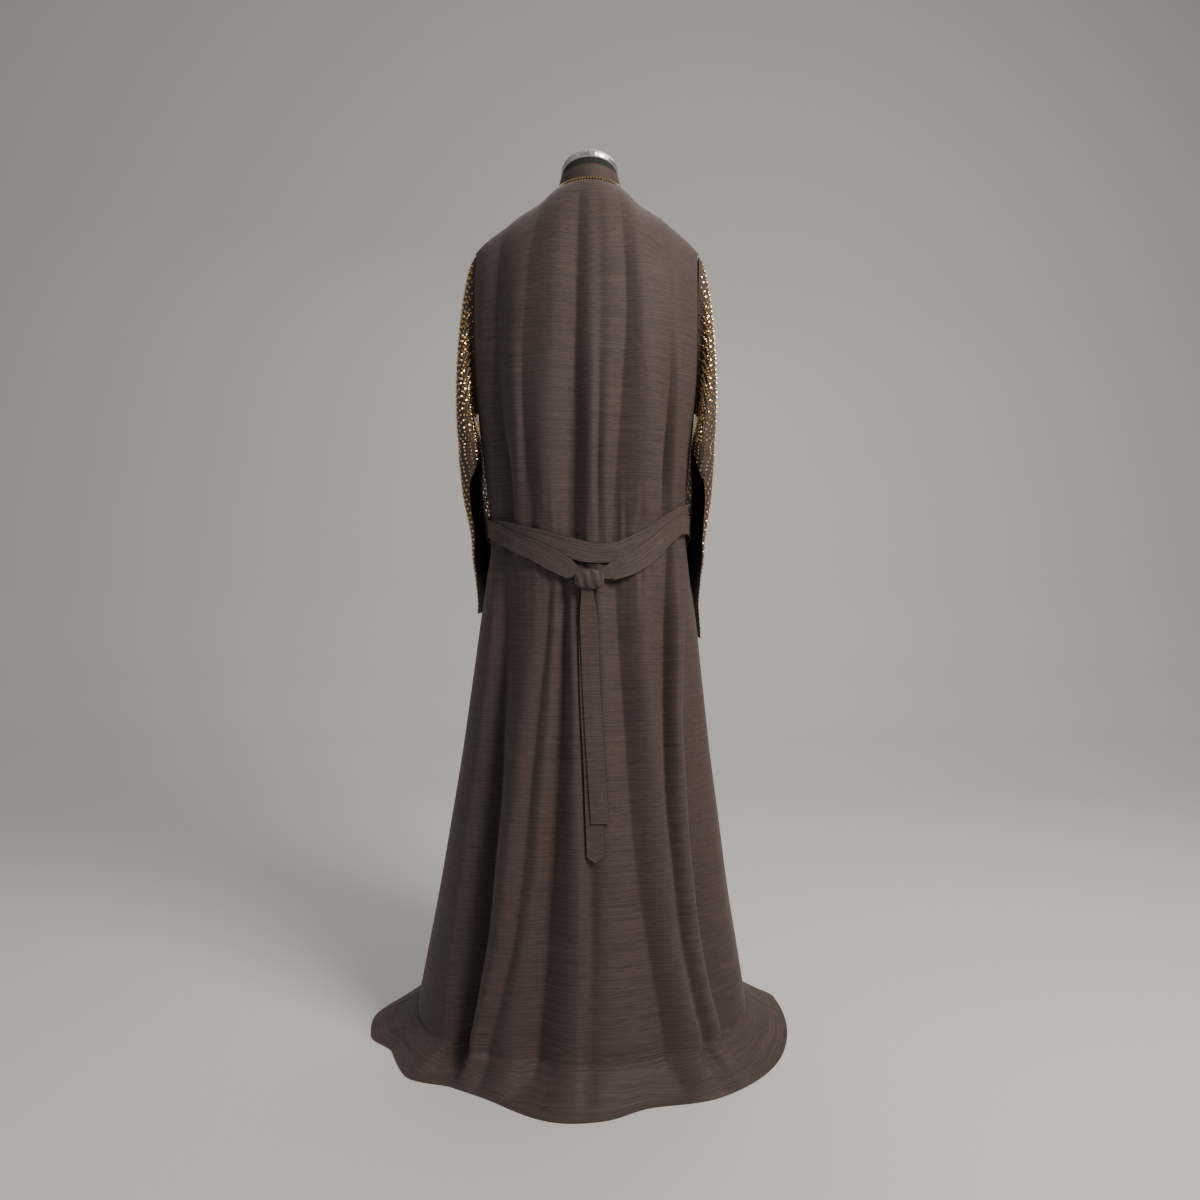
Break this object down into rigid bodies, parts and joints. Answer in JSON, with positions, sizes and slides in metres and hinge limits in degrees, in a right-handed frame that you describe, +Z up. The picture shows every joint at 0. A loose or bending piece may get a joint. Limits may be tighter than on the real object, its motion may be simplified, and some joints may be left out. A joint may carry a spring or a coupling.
{
  "type": "abaya cloak on a limbless dress form",
  "caption": "Long dark brown abaya with a stand collar, slit sleeves, a belt tied at the back and a short train, on a black limbless dress form.",
  "frame": {"origin": "centre of the form's round foot on the floor, under the pole", "axes": "+Z up, +Y the way the wearer faces, +X the wearer's right; the back of the garment faces -Y"},
  "size_m": [0.7253, 0.5884, 1.4997],
  "materials": {
    "crepe": "soft matt crepe with a fine crosswise slub",
    "form_cover": "matt stretch cover",
    "neck_cap": "brushed nickel",
    "stand": "satin"
  },
  "bodies": {
    "root": {"back": "crepe", "front_left": "crepe", "front_right": "crepe", "sleeve_left": "crepe", "sleeve_right": "crepe", "collar": "crepe", "belt": "crepe", "belt_loop_left": "crepe", "belt_loop_right": "crepe", "belt_end_front": "crepe", "belt_end_under": "crepe", "belt_knot": "crepe", "form_torso": "form_cover", "form_neck_cap": "neck_cap", "form_pole": "stand", "form_foot": "stand"}
  },
  "joints": []
}
